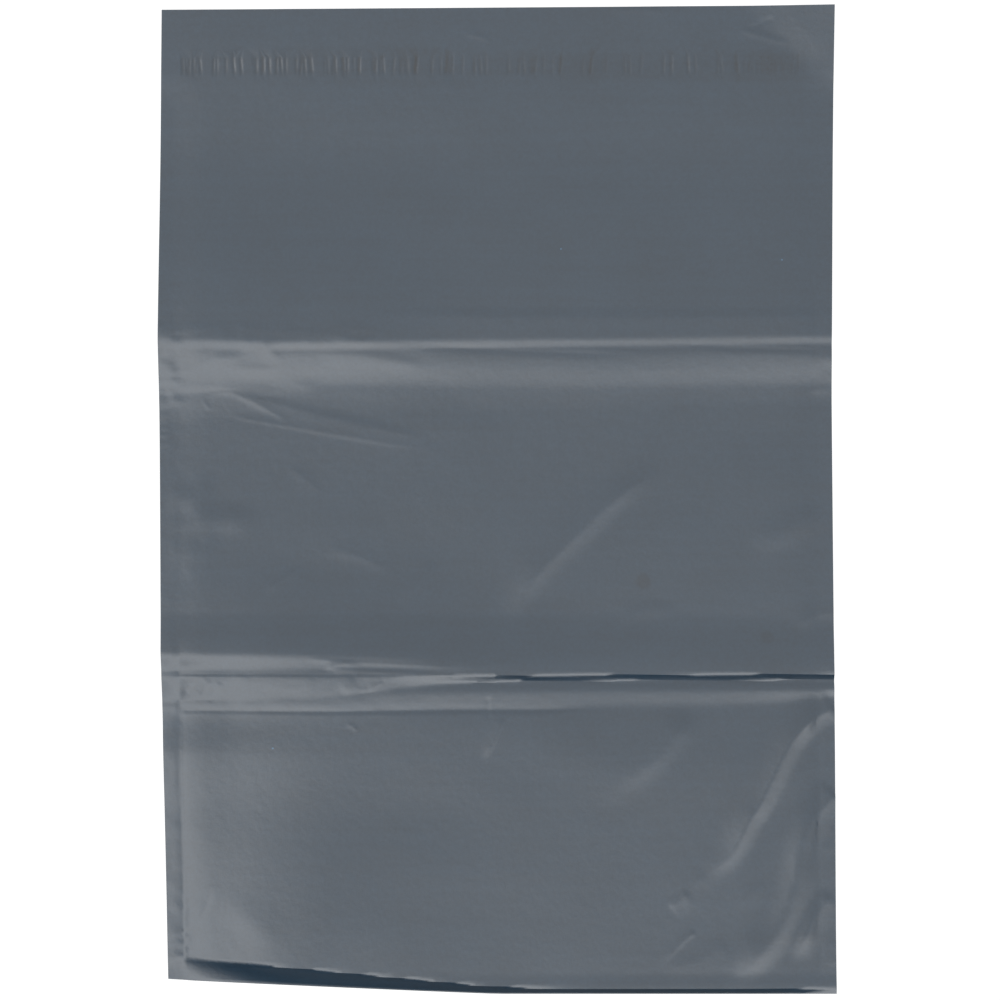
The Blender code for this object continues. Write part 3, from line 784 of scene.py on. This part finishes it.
# The film's colour varies by shares of a cloud, a mottle and streaks "drawn" out along it. "smudges"
# are at x and y in the photograph's pixels, with a radius in millimetres and a darkness.
filmLook = {
    "colour": (0.0155, 0.0395, 0.068), "rough": 0.30, "ior": 2.04, "glueBandAndPuckerShade": 0.09, "plain": 0.25,
    "cloud": {"Scale": 34.0, "Detail": 5.0, "Roughness": 0.65}, "cloudShare": 0.4,
    "mottle": {"Scale": 640.0, "Detail": 3.0, "Roughness": 0.7}, "mottleShare": 0.8,
    "drawn": {"Scale": 1.0, "Detail": 3.0}, "drawnScale": (9, 260, 1), "drawnShare": 0.3,
    "dimple": {"Scale": 210.0, "Detail": 1.0},
    "bump": {"Strength": 0.24, "Distance": 0.0002}, "softBump": {"Strength": 0.12, "Distance": 0.0006},
    "smudges": ((642, 582, 3.4, 0.32), (765, 638, 3.4, 0.2)),
    "smudgeHigh": 1 * mm, "smudgeRim": (1.25, 0.75),
    "speckScale": 70.0, "speckWide": 0.03, "speckShare": 0.88, "speckLight": 3.0,
}


def filmFinish():
    finish = Finish("greyFilm", filmLook["colour"], filmLook["rough"])
    finish.shader.inputs["IOR"].default_value = filmLook["ior"]
    where = finish.out(finish.node("ShaderNodeTexCoord"), "Object")
    cloud = finish.node("ShaderNodeTexNoise", Vector=where, **filmLook["cloud"])
    mottle = finish.node("ShaderNodeTexNoise", Vector=where, **filmLook["mottle"])
    along = finish.node("ShaderNodeMapping", Vector=where)
    along.inputs["Scale"].default_value = filmLook["drawnScale"]
    drawn = finish.node("ShaderNodeTexNoise", Vector=finish.out(along, "Vector"), **filmLook["drawn"])
    shade = finish.out(cloud, "Fac") * filmLook["cloudShare"]
    shade = shade + finish.out(mottle, "Fac") * filmLook["mottleShare"]
    shade = shade + finish.out(drawn, "Fac") * filmLook["drawnShare"] + filmLook["plain"]
    # Darker over the glue band, and darker still along the pucker lines: painted shade in their
    # creases.
    bandAndPuckerShade = finish.out(finish.node("ShaderNodeAttribute", {"attribute_name": "glueBandAndPuckerShade"}), "Fac")
    shade = shade - bandAndPuckerShade * filmLook["glueBandAndPuckerShade"]
    for px, py, radius, dark in filmLook["smudges"]:
        away = finish.node("ShaderNodeVectorMath", {"operation": "DISTANCE"})
        finish.tree.links.new(where.socket, away.inputs[0])
        x = (px - photo["middle"][0]) * photo["pixel"]
        y = (photo["middle"][1] - py) * photo["pixel"]
        away.inputs[1].default_value = (x, y, filmLook["smudgeHigh"])
        spot = finish.node("ShaderNodeMapRange", {"interpolation_type": "SMOOTHSTEP"},
                           Value=finish.out(away, "Value"))
        for end, rim in zip(("From Min", "From Max"), filmLook["smudgeRim"]):
            spot.inputs[end].default_value = radius * mm * rim
        shade = shade - finish.out(spot, "Result") * dark
    cells = finish.node("ShaderNodeTexVoronoi", Vector=where, Scale=filmLook["speckScale"])
    chosen = finish.node("ShaderNodeSeparateColor", Color=finish.out(cells, "Color"))
    speck = (finish.out(cells, "Distance") < filmLook["speckWide"]) * (
        finish.out(chosen, "Red") > filmLook["speckShare"])
    finish.tinted(filmLook["colour"], shade + speck * filmLook["speckLight"])
    bump = finish.node("ShaderNodeBump", Height=finish.out(mottle, "Fac"), **filmLook["bump"])
    dimple = finish.node("ShaderNodeTexNoise", Vector=where, **filmLook["dimple"])
    softer = finish.node("ShaderNodeBump", Height=finish.out(dimple, "Fac"),
                         Normal=finish.out(bump, "Normal"), **filmLook["softBump"])
    finish.feed("Normal", finish.out(softer, "Normal"))
    return finish.material


glueLook = {
    "colour": (0.55, 0.53, 0.45), "rough": 0.25, "plain": 0.85, "cloudShare": 0.2,
    "cloud": {"Scale": 300.0, "Detail": 3.0},
}
linerLook = {
    "colour": (0.72, 0.72, 0.70), "rough": 0.45, "plain": 0.85, "cloudShare": 0.2,
    "cloud": {"Scale": 60.0, "Detail": 3.0},
}


def plainFinish(name, look):
    finish = Finish(name, look["colour"], look["rough"])
    where = finish.out(finish.node("ShaderNodeTexCoord"), "Object")
    cloud = finish.node("ShaderNodeTexNoise", Vector=where, **look["cloud"])
    finish.tinted(look["colour"], finish.out(cloud, "Fac") * look["cloudShare"] + look["plain"])
    return finish.material


stage = {"wide": 3.0, "drop": 0.05 * mm, "grey": 0.12, "rough": 0.9, "white": 1.0}


def makeStage():
    sheet = bmesh.new()
    bmesh.ops.create_grid(sheet, x_segments=1, y_segments=1, size=stage["wide"])
    bmesh.ops.translate(sheet, verts=sheet.verts, vec=(0, 0, -stage["drop"]))
    mesh = bpy.data.meshes.new("floor")
    sheet.to_mesh(mesh)
    sheet.free()
    floor = bpy.data.objects.new("floor", mesh)
    bpy.context.scene.collection.objects.link(floor)
    white = Finish("whiteFloor", (stage["grey"],) * 3, stage["rough"])
    white.shader.inputs["Specular IOR Level"].default_value = 0
    seen = white.out(white.node("ShaderNodeLightPath"), "Is Camera Ray")
    white.shader.inputs["Emission Strength"].default_value = stage["white"]
    white.feed("Emission Color", seen)
    mesh.materials.append(white.material)


# A soft sky, brightest overhead, and a brighter band of it towards the bottom and the left of the
# picture. The band's "from" to "after" say where it begins, peaks and ends.
lights = {
    "sky": {"zenith": 0.71, "horizon": 0.02, "from": 0.15, "reach": 0.70},
    "band": {"below": 0.84, "left": 0.84, "from": 0.055, "to": 0.54, "more": 2.1,
             "ends": (0.64, 0.86), "after": 0.04},
}
eye = {"high": 1.60, "lens": 127.2, "sensor": 36, "at": (0.0010, -0.0002)}


def makeLights():
    world = bpy.data.worlds.new("studio")
    bpy.context.scene.world = world
    world.use_nodes = True
    tree = world.node_tree
    split = tree.nodes.new("ShaderNodeSeparateXYZ")
    tree.links.new(tree.nodes.new("ShaderNodeTexCoord").outputs["Generated"], split.inputs[0])
    x, y, z = (Wire(tree, split.outputs[axis]) for axis in "XYZ")

    def eased(value, start, end, low, high):
        node = tree.nodes.new("ShaderNodeMapRange")
        node.interpolation_type = "SMOOTHSTEP"
        tree.links.new(value.socket, node.inputs["Value"])
        for name, number in zip(("From Min", "From Max", "To Min", "To Max"), (start, end, low, high)):
            node.inputs[name].default_value = number
        return Wire(tree, node.outputs["Result"])

    overhead, band = lights["sky"], lights["band"]
    climb = eased(z, overhead["from"], overhead["reach"], overhead["horizon"], overhead["zenith"])
    toLeft = x * -band["left"]
    towards = toLeft.maths("MAXIMUM", toLeft, 0) - y * band["below"]
    lobe = eased(towards, band["from"], band["to"], 1, 1 + band["more"])
    sky = tree.nodes["Background"]
    sky.inputs["Color"].default_value = (1, 1, 1, 1)
    ended = eased(towards, *band["ends"], 1, band["after"])
    light = climb * lobe * ended
    seen = Wire(tree, tree.nodes.new("ShaderNodeLightPath").outputs["Is Camera Ray"])
    tree.links.new((light + (1 - light) * seen).socket, sky.inputs["Strength"])  # white past the floor


def makeCamera():
    camera = bpy.data.cameras.new("camera")
    camera.lens = eye["lens"]
    camera.sensor_width = eye["sensor"]
    holder = bpy.data.objects.new("camera", camera)
    bpy.context.scene.collection.objects.link(holder)
    holder.location = (*eye["at"], eye["high"])
    bpy.context.scene.camera = holder
    bpy.context.scene.view_settings.view_transform = "Standard"


envelope = makeFilm(filmFinish())
print("film made", len(envelope.data.polygons))

glueBelow = bag["film"] / 2 + bag["seat"] + glue["thick"] / 2
glueStrip = lieUnderLip("glueStrip", glue["left"], glue["right"], glue["from"], glue["to"],
                        glueBelow, glue["thick"], plainFinish("clearGlue", glueLook))
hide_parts("glue_strip")
over = glue["linerOver"]
linerBelow = glueBelow + glue["thick"] / 2 + bag["seat"] + glue["linerThick"] / 2
liner = lieUnderLip("releaseLiner", glue["left"] - over / 2, glue["right"] + over / 2,
                    glue["from"] - over, glue["to"] + over, linerBelow, glue["linerThick"],
                    plainFinish("whiteLiner", linerLook))
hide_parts("release_liner")
print("strips made")

points = np.array([v.co for v in envelope.data.vertices])
middle = ((points.min(0) + points.max(0)) / 2).tolist()[:2]
for piece in (envelope, glueStrip, liner):
    piece.data.transform(Matrix.Translation((-middle[0], -middle[1], 0)))
print("centred", [round(v, 5) for v in middle])

makeStage()
makeLights()
makeCamera()
bpy.context.view_layer.update()
